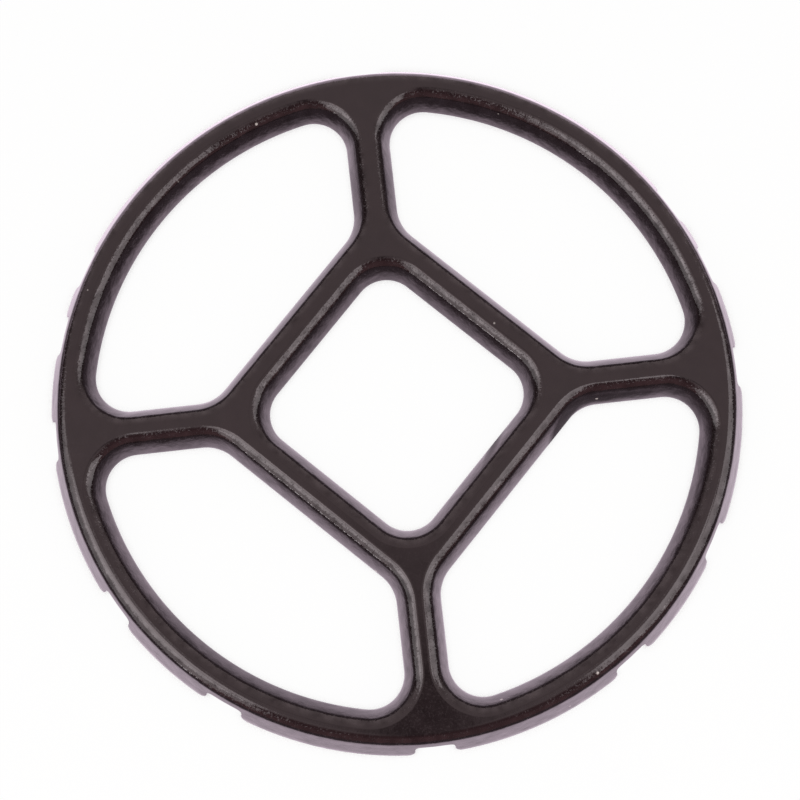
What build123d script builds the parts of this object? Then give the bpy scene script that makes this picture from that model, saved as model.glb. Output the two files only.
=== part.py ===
"""Wok ring: one pressed sheet-steel ring with four spokes and a square middle frame.

Millimetres, +Z up. The origin is the middle of the ring on the plane of its
lowest edges, the X and Y axes run along the spokes.
"""
import os
from math import cos, hypot, radians, tan

from build123d import *

os.makedirs("parts", exist_ok=True)

# Overall size, taken over the lowest edges of the lugs
diameter = 140.0

# Section of every bar: an inverted channel with leaning flanks and a round crown
foot_width = 8.8
rise = 5.9
flank_angle = 20.0
crown_radius = 2.5
sheet = 1.2

# Plan of the middle frame and of the four windows, on the lower edges of the flanks
square_side = 40.3
square_corner = 6.7
window_outer_corner = 6.9
window_inner_corner = 8.2

# Outer skirt: lugs that hang below the window flanks, with notches between them
lug_drop = 1.4
lug_corner = 1.8
notch_width = 8.0
notch_height = 4.0
notch_corner = 1.2

# Pan-support arms that the notches are spaced for: one set for each number of arms
arm_counts = (4, 5, 6)
first_arm_angle = 90.0

# Sizes that follow from the ones above
height = lug_drop + rise
lean = tan(radians(flank_angle))
window_radius = diameter / 2 - foot_width
frame_reach = square_side / 2 + foot_width
rim_crown_width = foot_width - (height + rise) * lean
bar_crown_width = foot_width - 2 * rise * lean
crown_setback = tan(radians(45 - flank_angle / 2))
crown = min(crown_radius, 0.45 * min(rim_crown_width, bar_crown_width) / crown_setback)
turn = 360.0
notch_angles = sorted({
    (first_arm_angle + turn * arm / count) % turn
    for count in arm_counts
    for arm in range(count)
})


def sector_windows(grow):
    """The four windows between rim, spokes and frame, each side moved outwards by grow."""
    spoke = foot_width - 2 * grow
    reach = frame_reach - grow
    with BuildSketch() as windows:
        Circle(window_radius + grow)
        Rectangle(diameter, spoke, mode=Mode.SUBTRACT)
        Rectangle(spoke, diameter, mode=Mode.SUBTRACT)
        Rectangle(2 * reach, 2 * reach, rotation=45, mode=Mode.SUBTRACT)
        middle = (window_radius + frame_reach) / 2
        corners = windows.vertices()
        at_rim = corners.filter_by(lambda v: hypot(v.X, v.Y) > middle)
        at_frame = corners.filter_by(lambda v: hypot(v.X, v.Y) < middle)
        fillet(at_rim, window_outer_corner + grow)
        fillet(windows.vertices().filter_by(
            lambda v: any(hypot(v.X - c.X, v.Y - c.Y) < sheet / 100 for c in at_frame)
        ), window_inner_corner + grow)
    return windows.sketch


def square_window(grow):
    """The square opening in the middle, each side moved outwards by grow."""
    side = square_side + 2 * grow
    with BuildSketch() as window:
        Rectangle(side, side, rotation=45)
        fillet(window.vertices(), square_corner + grow)
    return window.sketch


def pressing(inset):
    """The ring as if it were filled underneath, every surface moved in by inset."""
    grow = inset / cos(radians(flank_angle))
    with BuildPart() as form:
        # Leaning outer wall, from the lowest edges up to the crown
        with BuildSketch():
            Circle(diameter / 2 - grow)
        extrude(amount=height - inset, taper=flank_angle)
        # Windows that widen upwards, starting at the lower edges of their flanks
        with BuildSketch(Plane.XY.offset(lug_drop)):
            add(sector_windows(grow))
            add(square_window(grow))
        extrude(amount=rise, taper=-flank_angle, mode=Mode.SUBTRACT)
        # Round crown along every edge of the top
        fillet(form.faces().sort_by(Axis.Z)[-1].edges(), crown - inset)
    return form.part


with BuildPart() as wok_ring:
    # Sheet between the outer form and the same form moved in by one sheet thickness
    add(pressing(0))
    add(pressing(sheet), mode=Mode.SUBTRACT)

    # Notches cut through the outer skirt alone, with rounded lugs left between them
    for angle in notch_angles:
        side_on = Plane.XY.rotated((0, 0, angle)).offset(0)
        middle_of_rim = side_on.from_local_coords((window_radius + foot_width / 2, 0, 0))
        with BuildSketch(Plane(middle_of_rim, x_dir=side_on.y_dir, z_dir=side_on.x_dir)) as notch:
            Rectangle(notch_width, notch_height, align=(Align.CENTER, Align.MIN))
            Rectangle(notch_width + 4 * lug_corner, lug_drop, align=(Align.CENTER, Align.MAX))
            levels = notch.vertices().group_by(Axis.Y)
            upper = levels[-1]
            lug_ends = levels[-2].filter_by(lambda v: abs(v.X) < notch_width / 2 + lug_corner / 2)
            fillet(upper, notch_corner)
            fillet(lug_ends, lug_corner)
        extrude(amount=foot_width, mode=Mode.SUBTRACT)

wok_ring.part.label = "wok_ring"
export_step(wok_ring.part, "parts/wok_ring.step")
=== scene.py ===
# %% [markdown]
# # A black enamelled wok ring
#
# The real thing is one pressed sheet of steel: a round rim, four spokes and a square
# frame, all with the same inverted channel section, coated in glossy black enamel.
# This lesson rebuilds its skin as numpy arrays, gives it an enamel finish and sets
# up a plain white table with soft light. Everything is in metres, in the frame of
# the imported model, so nothing has to be fitted by eye.

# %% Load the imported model
import bpy
import numpy as np
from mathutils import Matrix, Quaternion, Vector
from mathutils.geometry import delaunay_2d_cdt


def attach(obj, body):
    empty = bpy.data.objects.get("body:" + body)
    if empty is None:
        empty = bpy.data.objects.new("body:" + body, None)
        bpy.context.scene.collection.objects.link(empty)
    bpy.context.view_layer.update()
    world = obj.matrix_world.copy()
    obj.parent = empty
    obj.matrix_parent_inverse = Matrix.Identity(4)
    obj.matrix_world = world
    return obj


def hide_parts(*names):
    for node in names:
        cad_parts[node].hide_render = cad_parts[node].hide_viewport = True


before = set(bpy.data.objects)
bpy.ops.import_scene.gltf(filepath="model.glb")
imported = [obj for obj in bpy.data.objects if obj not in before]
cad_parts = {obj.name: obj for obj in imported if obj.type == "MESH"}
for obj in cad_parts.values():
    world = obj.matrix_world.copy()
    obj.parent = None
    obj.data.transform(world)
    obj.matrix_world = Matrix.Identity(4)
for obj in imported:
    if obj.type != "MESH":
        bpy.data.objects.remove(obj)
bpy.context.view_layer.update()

# %% [markdown]
# ## The section of a bar
#
# Cut through any bar and the same shape appears: two flanks that lean inwards, a round
# crown with a narrow flat along the top, and the same line again one sheet thickness
# further in, because the ring is pressed from sheet and open underneath. The windows'
# flanks swell a little, as pressed sheet does, so they are steepest at the foot; on a gloss
# surface that alone makes them brighter towards the foot. A lofted or bevelled block could
# imitate all this, but a profile of (distance, height) pairs keeps every radius exact, and
# it can be carried along each outline of the plan. The coat of enamel beads up along the
# lower edges: it rolls them round, and it makes every opening a little tighter.

# %% Sizes of the section
MM = 0.001
HEIGHT = 7.3 * MM
LUG_DROP = 1.4 * MM
SHEET = 1.2 * MM
CROWN = 2.5 * MM
EDGE_ROUND = 0.2 * MM
EDGE_COAT = 0.09 * MM
FLAT_MARGIN = 0.08 * MM
SEEN_CROWN_STEPS = 15
HIDDEN_CROWN_STEPS = 9
EDGE_STEPS = 4
# a side of the section: the level of its foot, its mean lean, and how much more it leans under the crown
WINDOW_SIDE = (LUG_DROP, np.radians(21.0), np.radians(6.0))
SKIRT_SIDE = (0.0, np.radians(20.0), 0.0)
SHEET_LEVEL = SHEET / np.cos(SKIRT_SIDE[1])


def flank_top(side):
    """Level at which a flank meets the crown, where it leans by the lean plus the barrel."""
    return HEIGHT - CROWN + CROWN * np.sin(side[1] + side[2])


def flank_line(height, side, depth):
    """Distance of a flank from its outline in plan.

    depth + rise * tan(lean) is a straight flank. The barrel takes swell * rise * (1 - share
    of the whole rise) off it, so the flank leans least at its foot and most under the crown.
    """
    foot, lean, barrel = side
    rise = height - foot
    swell = np.tan(lean + barrel) - np.tan(lean)
    return depth + rise * np.tan(lean) - swell * rise * (1 - rise / (flank_top(side) - foot))


def crown_arc(side, depth, steps):
    """Arc of the crown, from the flank's own tilt to the flat (tilt 0).

    The centre lies CROWN below the top; a point is centre + radius * (-sin tilt, cos tilt),
    with the radius made smaller by the depth for the hidden side of the sheet.
    """
    radius = CROWN - depth
    centre_height = HEIGHT - CROWN
    end = side[1] + side[2]
    centre = flank_line(flank_top(side), side, 0.0) + CROWN * np.cos(end)
    tilt = np.linspace(np.pi / 2 - end, 0.0, steps)
    arc = np.stack([centre - radius * np.sin(tilt), centre_height + radius * np.cos(tilt)], axis=1)
    flat = np.array([[centre + FLAT_MARGIN, HEIGHT - depth]])
    return np.concatenate([arc, flat])


def edge_roll(steps):
    """Rolled lower edge as (share of the sheet from hidden to seen side, setback from the edge).

    Two quarter circles of EDGE_ROUND joined by a straight stretch across the sheet.
    """
    turn = np.linspace(0.0, np.pi / 2, steps)
    share = EDGE_ROUND / SHEET_LEVEL
    hidden = np.stack([share * (1 - np.cos(turn)), EDGE_ROUND * (1 - np.sin(turn))], axis=1)
    seen = np.stack([1 - hidden[::-1, 0], hidden[::-1, 1]], axis=1)
    return np.concatenate([hidden, seen])


roll = edge_roll(EDGE_STEPS)
crown_seen = crown_arc(WINDOW_SIDE, 0.0, SEEN_CROWN_STEPS)
crown_hidden = crown_arc(WINDOW_SIDE, SHEET, HIDDEN_CROWN_STEPS)
print("crown centre %.2f mm from a window's edge" % (crown_seen[-2, 0] / MM))

# %% [markdown]
# ## Outlines of the openings
#
# Every opening is convex and made of arcs joined by straight sides. An arc needs only a
# centre, a radius and a range of directions, and the straight sides appear by themselves
# between the end of one arc and the start of the next. The direction of each point is
# also the direction in which the section is carried, so both come from one function.

# %% Outlines in plan
RIM_INSIDE = 61.2 * MM - EDGE_COAT
HALF_BAR = 4.4 * MM + EDGE_COAT
SQUARE_HALF = 20.15 * MM - EDGE_COAT
FRAME_REACH = SQUARE_HALF + 2 * HALF_BAR
CORNER_AT_RIM = 6.9 * MM - EDGE_COAT
CORNER_AT_FRAME = 8.2 * MM - EDGE_COAT
CORNER_OF_SQUARE = 6.7 * MM - EDGE_COAT
RIM_STEPS = 72
CORNER_STEPS = 22
FRAME_CORNER_STEPS = 12


def arc_chain(arcs):
    """Outline from (centre x, centre y, radius, first angle, last angle, steps) arcs.

    Each point is centre + radius * (cos, sin) of its angle; the same (cos, sin) is its
    outward direction. Returns points and directions as two arrays.
    """
    angle = np.concatenate([np.linspace(a[3], a[4], a[5]) for a in arcs])
    reps = [a[5] for a in arcs]
    centre = np.repeat(np.array([a[:2] for a in arcs]), reps, axis=0)
    radius = np.repeat(np.array([a[2] for a in arcs]), reps)
    out = np.stack([np.cos(angle), np.sin(angle)], axis=1)
    return centre + radius[:, None] * out, out


def sector_outline(quarter):
    """One of the four large windows, turned by quarters.

    It is the rim arc, two corner arcs at the rim and two at the frame.
    """
    rim_y = HALF_BAR + CORNER_AT_RIM
    rim_x = np.sqrt((RIM_INSIDE - CORNER_AT_RIM) ** 2 - rim_y ** 2)
    start = np.arctan2(rim_y, rim_x)
    frame_y = HALF_BAR + CORNER_AT_FRAME
    frame_x = np.sqrt(2.0) * (FRAME_REACH + CORNER_AT_FRAME) - frame_y
    right = np.pi / 2
    points, out = arc_chain([
        (0.0, 0.0, RIM_INSIDE, start, right - start, RIM_STEPS),
        (rim_y, rim_x, CORNER_AT_RIM, right - start, 2 * right, CORNER_STEPS),
        (frame_y, frame_x, CORNER_AT_FRAME, 2 * right, 2.5 * right, FRAME_CORNER_STEPS),
        (frame_x, frame_y, CORNER_AT_FRAME, 2.5 * right, 3 * right, FRAME_CORNER_STEPS),
        (rim_x, rim_y, CORNER_AT_RIM, 3 * right, 4 * right + start, CORNER_STEPS),
    ])
    # the arcs share their end directions at the rim, so the second copy is left out
    keep = np.ones(len(points), bool)
    keep[[RIM_STEPS, len(points) - 1]] = False
    turn = quarter * right
    spin = np.array([[np.cos(turn), np.sin(turn)], [-np.sin(turn), np.cos(turn)]])
    return points[keep] @ spin, out[keep] @ spin


def square_outline():
    """The middle opening: four corner arcs on the axes, each turning through a right angle."""
    reach = np.sqrt(2.0) * (SQUARE_HALF - CORNER_OF_SQUARE)
    turns = np.arange(4) * np.pi / 2
    return arc_chain([
        (reach * np.cos(t), reach * np.sin(t), CORNER_OF_SQUARE, t - np.pi / 4, t + np.pi / 4, CORNER_STEPS)
        for t in turns
    ])


openings = [sector_outline(q) for q in range(4)] + [square_outline()]
print("points on the outlines:", [len(p) for p, _ in openings])

# %% [markdown]
# ## Window flanks
#
# Around each opening the section runs from the hidden flat, down the hidden flank, round
# the rolled lower edge, up the seen flank and over the crown. Carried along an outline it
# is a grid: one direction goes round the opening, the other along the section. Adding
# distance times direction to the outline gives exact parallel curves, corners included.

# %% Carry the section round each opening
FLANK_STEPS = 8


def window_section():
    """(distance from the outline, height) pairs from the hidden flat to the seen flat."""
    share, setback = roll[:, 0], roll[:, 1]
    height = LUG_DROP + setback
    lip = np.stack([flank_line(height, WINDOW_SIDE, SHEET_LEVEL * (1 - share)), height], axis=1)
    level = np.linspace(LUG_DROP + EDGE_ROUND, flank_top(WINDOW_SIDE), FLANK_STEPS)[1:-1]
    flank = np.stack([flank_line(level, WINDOW_SIDE, 0.0), level], axis=1)
    return np.concatenate([crown_hidden[::-1], lip, flank, crown_seen])


def carried(outline, section):
    """Grid of points: outline + distance * direction in plan, and the section's height."""
    points, out = outline
    plan = points[:, None, :] + section[None, :, :1] * out[:, None, :]
    level = np.broadcast_to(section[None, :, 1:], plan.shape[:2] + (1,))
    return np.concatenate([plan, level], axis=2)


grids = [carried(outline, window_section()) for outline in openings]
print("window grids:", [g.shape[:2] for g in grids])

# %% [markdown]
# ## Notched skirt
#
# The outside of the rim hangs lower than the windows' flanks and is cut into lugs, so that
# it keys over the arms of a pan support. A boolean cut would leave sharp edges and stray
# triangles. Here the lower edge is one curve instead: straight along a lug, round its
# corner, up the side of a notch and along its top. Each column of the grid starts on
# that curve and fans out to an even spacing further up.

# %% Lower edge of the skirt
RIM_OUTSIDE = 70.0 * MM
NOTCH_HALF = 4.0 * MM
NOTCH_HEIGHT = 4.0 * MM
NOTCH_CORNER = 1.2 * MM
LUG_CORNER = 1.8 * MM
FAN_HALF = 7.2 * MM
FAN_LEVEL = 4.9 * MM
ARM_COUNTS = (4, 5, 6)
FIRST_ARM = 90.0
NOTCH_CORNER_STEPS = 9
LUG_STEP = np.radians(1.5)


def notch_edge():
    """Half a notch's edge, from the lug to the middle.

    Returns (along, height) points and, for each, the direction out of the metal.
    """
    quarter = np.linspace(0.0, np.pi / 2, NOTCH_CORNER_STEPS)
    lug = np.stack([NOTCH_HALF + LUG_CORNER - LUG_CORNER * np.sin(quarter),
                    LUG_CORNER - LUG_CORNER * np.cos(quarter)], axis=1)
    lug_out = np.stack([-np.sin(quarter), -np.cos(quarter)], axis=1)
    top = np.stack([NOTCH_HALF - NOTCH_CORNER + NOTCH_CORNER * np.cos(quarter),
                    NOTCH_HEIGHT - NOTCH_CORNER + NOTCH_CORNER * np.sin(quarter)], axis=1)
    top_out = np.stack([-np.cos(quarter), -np.sin(quarter)], axis=1)
    start = np.array([[FAN_HALF, 0.0]])
    middle = np.array([[0.0, NOTCH_HEIGHT]])
    down = np.array([[0.0, -1.0]])
    return np.concatenate([start, lug, top, middle]), np.concatenate([down, lug_out, top_out, down])


def whole_notch():
    """Both halves of a notch, mirrored about its middle, from low angle to high angle."""
    point, out = notch_edge()
    flip = np.array([-1.0, 1.0])
    return np.concatenate([point * flip, point[-2::-1]]), np.concatenate([out * flip, out[-2::-1]])


def skirt_edge():
    """Lower edge all round: angle, height, direction out of the metal, and the even angle above it."""
    notch_point, notch_out = whole_notch()
    step = np.linalg.norm(np.diff(notch_point, axis=0), axis=1)
    walked = np.concatenate([[0.0], np.cumsum(step)]) / step.sum()
    even = (2 * walked - 1) * FAN_HALF
    spaced = [FIRST_ARM + 360 * np.arange(n) / n for n in ARM_COUNTS]
    angles = np.unique(np.round(np.concatenate(spaced) % 360, 6))
    starts = np.radians(angles)
    gaps = np.diff(np.append(starts, starts[0] + 2 * np.pi))
    fan = FAN_HALF / RIM_OUTSIDE
    lug_counts = np.maximum(2, np.round((gaps - 2 * fan) / LUG_STEP).astype(int))
    pieces = []
    for start, gap, count in zip(starts, gaps, lug_counts):
        lug = np.linspace(start + fan, start + gap - fan, count + 1)[1:-1]
        flat = np.zeros_like(lug)
        pieces.append(np.stack([start + notch_point[:, 0] / RIM_OUTSIDE, notch_point[:, 1],
                                notch_out[:, 0], notch_out[:, 1], start + even / RIM_OUTSIDE], axis=1))
        pieces.append(np.stack([lug, flat, flat, flat - 1.0, lug], axis=1))
    return np.concatenate(pieces)


edge = skirt_edge()
print("columns round the skirt:", len(edge))

# %% [markdown]
# The section now goes round the rim as it went round the windows, with one difference:
# between the notched edge and the crown lies a web, whose columns lean from their places
# on the edge to an even spacing, on the seen and on the hidden side alike.

# %% Carry the section round the skirt
WEB_STEPS = 5


def on_cone(angle, height, depth):
    """Point on the leaning skirt: its radius is the outside radius less the flank's distance."""
    radius = RIM_OUTSIDE - flank_line(height, SKIRT_SIDE, depth)
    return np.stack([radius * np.cos(angle), radius * np.sin(angle), height], axis=-1)


def skirt_grid():
    """Grid of the rim's outer side, from the hidden flat round the notched edge to the seen flat."""
    angle, height, out_along, out_up, even = edge.T
    share, setback = roll[:, 0], roll[:, 1]
    lip_angle = angle[:, None] - setback[None, :] * out_along[:, None] / RIM_OUTSIDE
    lip_height = height[:, None] - setback[None, :] * out_up[:, None]
    lip = on_cone(lip_angle, lip_height, SHEET_LEVEL * (1 - share)[None, :])
    rise = np.linspace(0.0, 1.0, WEB_STEPS)[1:]
    web_angle = lip_angle[:, -1:] + (even[:, None] - lip_angle[:, -1:]) * rise
    web_height = lip_height[:, -1:] + (FAN_LEVEL - lip_height[:, -1:]) * rise
    seen_web = on_cone(web_angle, web_height, 0.0)
    hidden_web = on_cone(web_angle, web_height, SHEET_LEVEL)[:, ::-1]
    seen = crown_arc(SKIRT_SIDE, 0.0, SEEN_CROWN_STEPS)
    hidden = crown_arc(SKIRT_SIDE, SHEET, HIDDEN_CROWN_STEPS)[::-1]
    outward = np.stack([np.cos(even), np.sin(even)], axis=1)
    outline = (RIM_OUTSIDE * outward, -outward)
    bands = [carried(outline, hidden), hidden_web, lip, seen_web, carried(outline, seen)]
    return np.concatenate(bands, axis=1)


grids.append(skirt_grid())
print("skirt grid:", grids[-1].shape[:2])

# %% [markdown]
# ## One closed skin
#
# The grids end on the edge of the narrow flat along the top, and on the same line of the
# hidden side. A constrained Delaunay triangulation joins those loops, and the triangles
# that fall into an opening are dropped: they are the ones with all three corners on the
# same opening's loop. Sharing the loops' vertices closes the seams without any merging.

# %% Join the grids and the flats
CLOSEST = 1e-7


def grid_faces(columns, rows, first, around):
    """Quads of a grid that closes on itself; around is +1 or -1 and sets which side faces outwards."""
    column = np.arange(columns)
    here = first + column[:, None] * rows + np.arange(rows - 1)[None, :]
    there = first + ((column + 1) % columns)[:, None] * rows + np.arange(rows - 1)[None, :]
    quads = np.stack([here, here + 1, there + 1, there], axis=-1).reshape(-1, 4)
    return quads[:, ::around]


def flat_faces(verts, loops, upwards):
    """Triangles between the loops, turned to face up or down; the last loop is the rim."""
    ring = np.concatenate(loops)
    owner = np.repeat(np.arange(len(loops)), [len(loop) for loop in loops])
    local = [np.arange(len(loop)) + np.sum(owner < k) for k, loop in enumerate(loops)]
    links = np.concatenate([np.stack([loop, np.roll(loop, -1)], axis=1) for loop in local])
    plan = [Vector(p) for p in (verts[ring, :2] / MM).tolist()]
    result = delaunay_2d_cdt(plan, links.tolist(), [], 0, CLOSEST)
    order = np.array([ids[0] for ids in result[3]])
    tris = order[np.array(result[2])]
    home = owner[tris]
    hole = (home[:, 0] == home[:, 1]) & (home[:, 1] == home[:, 2]) & (home[:, 0] < len(loops) - 1)
    tris = ring[tris[~hole]]
    a, b, c = (verts[tris[:, k], :2] for k in range(3))
    turn = (b[:, 0] - a[:, 0]) * (c[:, 1] - a[:, 1]) - (b[:, 1] - a[:, 1]) * (c[:, 0] - a[:, 0])
    wrong = (turn > 0) != upwards
    tris[wrong] = tris[wrong][:, ::-1]
    return tris


def ring_skin():
    """All vertices and faces of the ring: six carried grids and the two flats between them."""
    verts, faces, top_loops, under_loops = [], [], [], []
    first = 0
    for k, grid in enumerate(grids):
        columns, rows = grid.shape[:2]
        verts.append(grid.reshape(-1, 3))
        faces += grid_faces(columns, rows, first, -1 if k == len(grids) - 1 else 1).tolist()
        start = first + np.arange(columns) * rows
        under_loops.append(start)
        top_loops.append(start + rows - 1)
        first += columns * rows
    verts = np.concatenate(verts)
    faces += flat_faces(verts, top_loops, True).tolist()
    faces += flat_faces(verts, under_loops, False).tolist()
    return verts, faces


skin_verts, skin_faces = ring_skin()
skin = bpy.data.meshes.new("enamelled_ring")
skin.from_pydata(skin_verts.tolist(), [], skin_faces)
skin.validate()
skin.polygons.foreach_set("use_smooth", np.ones(len(skin.polygons), bool))
ring = bpy.data.objects.new("enamelled_ring", skin)
bpy.context.scene.collection.objects.link(ring)
print("ring: %d vertices, %d faces" % (len(skin.vertices), len(skin.polygons)))

# %% [markdown]
# ## Helpers for the materials
#
# A material in Blender is a graph of nodes. Built one call at a time, every node takes
# several lines: make it, set its options, set its numbers, link its inputs. The functions
# below take that up, so each later line says one thing about a surface. An input is given
# either a number or the output of another node, and the helper links or sets it.

# %% Node helpers
SOFT = "SMOOTHSTEP"
WHITE = (1.0, 1.0, 1.0, 1.0)


def add_node(tree, kind, inputs=None, **settings):
    """New node in a tree; inputs gives, by socket, a value or the output that feeds it."""
    made = tree.nodes.new(kind)
    for name, value in settings.items():
        setattr(made, name, value)
    for socket, value in (inputs or {}).items():
        if isinstance(value, bpy.types.NodeSocket):
            tree.links.new(value, made.inputs[socket])
        else:
            made.inputs[socket].default_value = value
    return made


def computed(tree, operation, *terms):
    """Output of a Math node; each term is a number or another output."""
    return add_node(tree, "ShaderNodeMath", dict(enumerate(terms)), operation=operation).outputs["Value"]


def ramp(tree, source, start, end, at_start=0.0, at_end=1.0, curve="LINEAR"):
    """Output that goes from at_start to at_end while the source goes from start to end, flat beyond."""
    inputs = {"Value": source, "From Min": start, "From Max": end, "To Min": at_start, "To Max": at_end}
    return add_node(tree, "ShaderNodeMapRange", inputs, interpolation_type=curve).outputs["Result"]


def distance_from(tree, source, centre, weight=(1.0, 1.0, 0.0)):
    """Distance of a point or direction from a centre, after each axis is multiplied by its weight."""
    weighted = add_node(tree, "ShaderNodeVectorMath", {0: source, 1: weight}, operation="MULTIPLY")
    inputs = {0: weighted.outputs["Vector"], 1: centre}
    return add_node(tree, "ShaderNodeVectorMath", inputs, operation="DISTANCE").outputs["Value"]


def blended(tree, share, first, second):
    """Output of a Mix Shader: the first shader at share 0, the second at share 1."""
    return add_node(tree, "ShaderNodeMixShader", {0: share, 1: first, 2: second}).outputs["Shader"]


print("node helpers ready")

# %% [markdown]
# ## Black enamel: its colour
#
# Vitreous enamel is glass fused onto steel, almost black underneath and clear on top. Nearly
# all of what is seen on it is reflection, so its own colour only has to be very dark, with a
# faint warm mottle from noise. A painted image could hold the pale specks and pinholes that
# every enamelled part has, but it would stretch round the corners. Here they are cells of a
# Voronoi pattern in the ring's own metres, and a random number per cell leaves many empty.

# %% Enamel colour
GLASS_IOR = 1.66
GLASS_TINT = (1.0, 0.88, 0.92, 1.0)
DARK_TONE = (0.0078, 0.0044, 0.0052, 1.0)
LIGHT_TONE = (0.0112, 0.0062, 0.0074, 1.0)
SPECK_COLOUR = (0.45, 0.42, 0.40, 1.0)
SPECK_CELLS = 140.0
SPECK_EDGE = 0.050
SPECK_CORE = 0.030
EMPTY_CELLS = 0.45

enamel = bpy.data.materials.new("black_enamel")
enamel.use_nodes = True
coat = enamel.node_tree
gloss = coat.nodes["Principled BSDF"]
gloss.inputs["IOR"].default_value = GLASS_IOR
gloss.inputs["Specular Tint"].default_value = GLASS_TINT
where = add_node(coat, "ShaderNodeTexCoord")


def enamel_noise(scale, detail, roughness=0.5):
    """Noise in the ring's own metres: about scale lumps per metre, with finer ones by detail."""
    inputs = {"Vector": where.outputs["Object"], "Scale": scale, "Detail": detail, "Roughness": roughness}
    return add_node(coat, "ShaderNodeTexNoise", inputs).outputs["Fac"]


mottle = enamel_noise(160.0, 5.0, 0.6)
tone = add_node(coat, "ShaderNodeValToRGB", {"Fac": mottle})
tone.color_ramp.elements[0].position = 0.3
tone.color_ramp.elements[1].position = 0.7
tone.color_ramp.elements[0].color = DARK_TONE
tone.color_ramp.elements[1].color = LIGHT_TONE
cells = add_node(coat, "ShaderNodeTexVoronoi", {"Vector": where.outputs["Object"], "Scale": SPECK_CELLS})
speck = ramp(coat, cells.outputs["Distance"], SPECK_EDGE, SPECK_CORE)
drawn = add_node(coat, "ShaderNodeSeparateColor", {"Color": cells.outputs["Color"]})
few = computed(coat, "GREATER_THAN", drawn.outputs["Red"], EMPTY_CELLS)
dust = computed(coat, "MULTIPLY", speck, few)
dusted = add_node(coat, "ShaderNodeMix", {"Factor": dust, "A": tone.outputs["Color"], "B": SPECK_COLOUR},
                  data_type="RGBA")
coat.links.new(dusted.outputs["Result"], gloss.inputs["Base Color"])
print("enamel colour: %d nodes" % len(coat.nodes))

# %% [markdown]
# ## Black enamel: its surface
#
# Enamel flows in the kiln. It lies calm on the flat top, draws into slow waves on the flanks,
# and stays gritty on the crowns, where it runs thin. Waves and grit are far too small to
# model, so they are bump. The upright part of the surface direction tells the places apart:
# it is 1 on the flats, falls over the crowns and is small on the flanks. The waves also cloud
# the gloss a little, and the grit roughens it.

# %% Enamel relief
WAVE_HEIGHT = 0.08 * MM
GRIT_HEIGHT = 0.014 * MM
CLOUDING = 0.8
MIDDLE_GLOSS = 0.5
GRIT_ROUGHNESS = 0.45

upright = add_node(coat, "ShaderNodeSeparateXYZ", {"Vector": where.outputs["Normal"]}).outputs["Z"]
curved = ramp(coat, upright, 0.999, 0.93, at_start=0.1)
not_steep = ramp(coat, upright, 0.35, 0.75, at_start=0.15)
waves = computed(coat, "SUBTRACT", enamel_noise(420.0, 2.0), 0.5)
waves = computed(coat, "MULTIPLY", waves, curved)
swell = add_node(coat, "ShaderNodeBump", {"Strength": 1.0, "Distance": WAVE_HEIGHT, "Height": waves})
cloud = computed(coat, "MULTIPLY_ADD", waves, CLOUDING, MIDDLE_GLOSS)
coat.links.new(cloud, gloss.inputs["Specular IOR Level"])

pimples = ramp(coat, enamel_noise(2400.0, 2.0), 0.50, 0.75, curve=SOFT)
grit = computed(coat, "MULTIPLY", pimples, computed(coat, "MULTIPLY", not_steep, curved))
grain = add_node(coat, "ShaderNodeBump", {"Strength": 1.0, "Distance": GRIT_HEIGHT, "Height": grit,
                                          "Normal": swell.outputs["Normal"]})
coat.links.new(grain.outputs["Normal"], gloss.inputs["Normal"])
sheen = ramp(coat, mottle, 0.0, 1.0, 0.04, 0.13)
coat.links.new(computed(coat, "MULTIPLY_ADD", grit, GRIT_ROUGHNESS, sheen), gloss.inputs["Roughness"])
skin.materials.append(enamel)
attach(ring, "root")
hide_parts("wok_ring")
print("enamel on", ring.name)

# %% [markdown]
# ## White table, seen directly
#
# The ring lies on a plain white table, lit so strongly that it comes out white. Close under
# the lower edges hardly any light arrives, and a thin soft shadow shows where they stand.
# Lamps strong enough for that white would flood the enamel too, so the table glows by itself.
# Ambient occlusion tells how closed in a point of the table is, and there the glow gives way
# to a matt white that takes the shadow.

# %% Table for the eye
HALF_TABLE = 1.6
MATT_WHITE = (0.86, 0.86, 0.86, 1.0)
SHADOW_REACH = 2 * MM

table = bpy.data.meshes.new("table")
table.from_pydata([(-HALF_TABLE, -HALF_TABLE, 0), (HALF_TABLE, -HALF_TABLE, 0),
                   (HALF_TABLE, HALF_TABLE, 0), (-HALF_TABLE, HALF_TABLE, 0)], [], [(0, 1, 2, 3)])
floor = bpy.data.objects.new("table", table)
bpy.context.scene.collection.objects.link(floor)
paper = bpy.data.materials.new("white_table")
paper.use_nodes = True
page = paper.node_tree
page.nodes.clear()
matt = add_node(page, "ShaderNodeBsdfDiffuse", {"Color": MATT_WHITE}).outputs["BSDF"]
bright = add_node(page, "ShaderNodeEmission", {"Color": WHITE, "Strength": 1.0}).outputs["Emission"]
nook = add_node(page, "ShaderNodeAmbientOcclusion", {"Distance": SHADOW_REACH}, samples=3)
opened = ramp(page, nook.outputs["AO"], 0.3, 0.72, at_end=0.95)
seen_paper = blended(page, opened, matt, bright)
print("table: %.1f m wide" % (2 * HALF_TABLE))

# %% [markdown]
# ## White table, seen in the enamel
#
# The leaning flanks mirror the table, and that gives them their grey. How bright it looks in
# them depends on where and how steeply it is looked at: steep views from the lower flanks
# meet the open table, shallow views from under the crowns run into the shade between the
# bars. True bounced light would give this too, but with much more noise than a few ramps by
# place and slope. The front is lighter than the back, the table behind the far rim is open
# and bright, and two places in the shade of the bars are darker.

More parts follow.
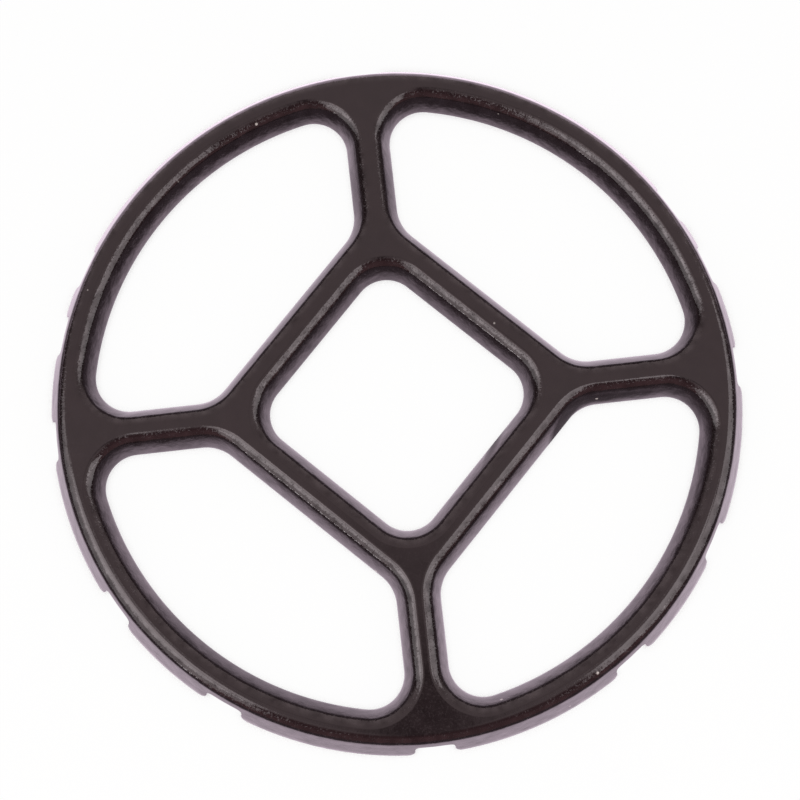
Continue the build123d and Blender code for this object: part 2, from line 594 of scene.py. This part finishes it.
# %% Table for the mirror
TABLE_TINT = (1.0, 0.85, 0.98, 1.0)
BETWEEN_BARS = 0.17
OPEN_TABLE = 1.7
FRONT_LEFT_SHADE = 0.68
STEEP_VIEW = 0.345
SHALLOW_VIEW = 0.541
SPOKE_STRETCH = 0.13
BESIDE_SPOKE = (SPOKE_STRETCH * 35 * MM, -9.2 * MM, 0.0)
FRONT_LEFT = (-34 * MM, -48 * MM, 0.0)

spot = add_node(page, "ShaderNodeTexCoord").outputs["Object"]
back = add_node(page, "ShaderNodeSeparateXYZ", {"Vector": spot}).outputs["Y"]
reach = distance_from(page, spot, (0.0, 0.0, 0.0))
front_light = ramp(page, back, 45 * MM, -45 * MM, 0.94, 1.34)
off_spoke = distance_from(page, spot, BESIDE_SPOKE, (SPOKE_STRETCH, 1.0, 0.0))
spoke_shade = ramp(page, off_spoke, 2.0 * MM, 3.4 * MM, at_start=0.25)
inside_rim = ramp(page, reach, RIM_INSIDE, RIM_OUTSIDE, FRONT_LEFT_SHADE)
off_front_left = distance_from(page, spot, FRONT_LEFT)
left_shade = ramp(page, off_front_left, 16 * MM, 27 * MM, at_start=inside_rim)
far_half = ramp(page, back, 10 * MM, 40 * MM, 1.0, 1.5)
far_rim = ramp(page, reach, 48 * MM, 57 * MM, 1.0, far_half)
steep_light = front_light
for factor in (spoke_shade, left_shade, far_rim):
    steep_light = computed(page, "MULTIPLY", steep_light, factor)
beyond_rim = ramp(page, reach, RIM_INSIDE + 3 * MM, RIM_OUTSIDE, BETWEEN_BARS, OPEN_TABLE)
shallow_light = ramp(page, back, 20 * MM, RIM_OUTSIDE, BETWEEN_BARS, beyond_rim)
slope = add_node(page, "ShaderNodeLayerWeight", {"Blend": 0.5}).outputs["Facing"]
glow = ramp(page, slope, SHALLOW_VIEW, STEEP_VIEW, shallow_light, steep_light)
mirrored = add_node(page, "ShaderNodeEmission", {"Color": TABLE_TINT, "Strength": glow}).outputs["Emission"]
print("mirrored table: %d nodes" % len(page.nodes))

# %% [markdown]
# ## The two tables joined
#
# The eye and the enamel look at the same table, so one material has to answer both. The
# Light Path node tells which kind of ray asks: rays from the camera get the white table,
# rays mirrored in the gloss get the shaded one, and all others meet plain matt white.

# %% Join by kind of ray
path = add_node(page, "ShaderNodeLightPath")
for_mirror = blended(page, path.outputs["Is Glossy Ray"], matt, mirrored)
for_eye = blended(page, path.outputs["Is Camera Ray"], for_mirror, seen_paper)
add_node(page, "ShaderNodeOutputMaterial", {"Surface": for_eye})
table.materials.append(paper)
print("table material on", floor.name)

# %% [markdown]
# ## Room light
#
# Black gloss is a mirror, so the flat top shows the ceiling and the crowns show the walls.
# The room is evenly light overhead and behind, and dark at the front, where the camera
# stands: a narrow dark column, with a darker spot for the lens itself, lies on the front
# junction. A photographed surround could do this, but a few smooth steps by direction are
# enough and can be read. X is to the right, Y to the back; each factor multiplies the rest.

# %% Room by direction
FRONT_TINT = (0.335, 0.20, 0.207, 1.0)
ROOM_TINT = (1.0, 0.90, 0.89, 1.0)
ROOM_LEVEL = 3.28

world = bpy.data.worlds.new("soft_room")
bpy.context.scene.world = world
world.use_nodes = True
room = world.node_tree
sky = room.nodes["Background"]
aim = add_node(room, "ShaderNodeTexCoord").outputs["Generated"]
to_back = add_node(room, "ShaderNodeSeparateXYZ", {"Vector": aim}).outputs["Y"]
off_side = distance_from(room, aim, (0.05, 0.0, 0.0), (1.0, 0.0, 0.0))
off_column = distance_from(room, aim, (0.006, -0.036, 0.0), (1.25, 0.17, 0.0))
off_lens = distance_from(room, aim, (0.022, -0.016, 0.0), (2.0, 0.8, 0.0))
off_haze = distance_from(room, aim, (-0.25, -0.05, 0.0))
behind = ramp(room, to_back, -0.44, -0.10, curve=SOFT)
# each row: what it goes by, where it is darkest, where it is full, and its least share
factors = [
    # the walls far to the left and right are dark
    ramp(room, off_side, 0.97, 0.74, 0.1, curve=SOFT),
    # the wall behind is lighter than the ceiling
    ramp(room, to_back, 0.3, 1.0, 0.80, curve=SOFT),
    # only low at the front does the room get lighter again
    ramp(room, to_back, -0.5, -0.8, 0.55, curve=SOFT),
    # the column where the camera stands, and its lens
    ramp(room, off_column, 0.014, 0.080, 0.14, curve=SOFT),
    ramp(room, off_lens, 0.016, 0.052, 0.1, curve=SOFT),
    # a haze of light beside the left panel, above the level of the rest
    ramp(room, off_haze, 0.17, 0.03, 0.45, curve=SOFT),
]
strength = ROOM_LEVEL
for factor in factors:
    strength = computed(room, "MULTIPLY", strength, factor)
tint = add_node(room, "ShaderNodeMix", {"Factor": behind, "A": FRONT_TINT, "B": ROOM_TINT}, data_type="RGBA")
room.links.new(tint.outputs["Result"], sky.inputs["Color"])
room.links.new(strength, sky.inputs["Strength"])
white = add_node(room, "ShaderNodeBackground", {"Color": WHITE}).outputs["Background"]
by_eye = add_node(room, "ShaderNodeLightPath").outputs["Is Camera Ray"]
shown = blended(room, by_eye, sky.outputs["Background"], white)
room.links.new(shown, room.nodes["World Output"].inputs["Surface"])
print("room light: %d factors" % len(factors))

# %% [markdown]
# ## Light panels
#
# Wide soft panels at either side draw the pale bands along the crowns. They stand at a
# finite distance, because only then do the bands shift from one bar to the next as they do
# on the real ring. A panel's brightness in the gloss is its radiance, whatever its size, so
# radiance is what is given here and the lamp's power follows from it.

# %% Soft panels
PANEL_COLOUR = (0.97, 1.0, 0.985)


def soft_panel(name, place, width, height, turn, shape, radiance):
    """Area light that faces the ring, turned about its own axis.

    Its power is pi * width * height * radiance.
    """
    light = bpy.data.lights.new(name, "AREA")
    light.color = PANEL_COLOUR
    light.shape = shape
    light.size = width
    light.size_y = height
    light.energy = np.pi * width * height * radiance
    lamp = bpy.data.objects.new(name, light)
    lamp.location = place
    to_ring = (-Vector(place)).to_track_quat("-Z", "Y")
    lamp.rotation_euler = (to_ring @ Quaternion((0.0, 0.0, 1.0), turn)).to_euler()
    lamp.visible_camera = False
    bpy.context.scene.collection.objects.link(lamp)
    return lamp


panels = [
    soft_panel("panel_left", (-0.433, -0.161, 0.300), 0.616, 0.700, 0.389, "ELLIPSE", 1.00),
    soft_panel("core_left", (-0.296, -0.127, 0.477), 0.322, 0.491, 0.257, "ELLIPSE", 1.32),
    soft_panel("strip_right", (0.180, -0.151, 0.300), 0.332, 0.109, 1.272, "RECTANGLE", 1.90),
    soft_panel("panel_right", (0.467, -0.108, 0.300), 0.545, 0.407, 0.894, "RECTANGLE", 1.55),
    soft_panel("low_lamp", (-0.612, -0.516, 0.045), 0.050, 0.070, 0.0, "RECTANGLE", 8.0),
]
print("panels:", [lamp.name for lamp in panels])

# %% [markdown]
# ## Camera
#
# The camera stands almost straight above the ring, a little to the front. Its place and its
# lens come from fitting the outlines of the five openings to the picture. The two shifts are
# half a pixel, because a picture's middle lies between its pixels.

# %% Camera
lens = bpy.data.cameras.new("photo_view")
lens.sensor_width = 36.0
lens.lens = 91.21
lens.shift_x = -0.000625
lens.shift_y = 0.000625
view = bpy.data.objects.new("photo_view", lens)
view.location = (-4.514 * MM, -59.229 * MM, 406.340 * MM)
view.rotation_euler = np.radians([8.453, 0.186, -6.329])
bpy.context.scene.collection.objects.link(view)
bpy.context.scene.camera = view
bpy.context.scene.view_settings.view_transform = "Standard"
print("camera %.0f mm above the table" % (view.location.z / MM))
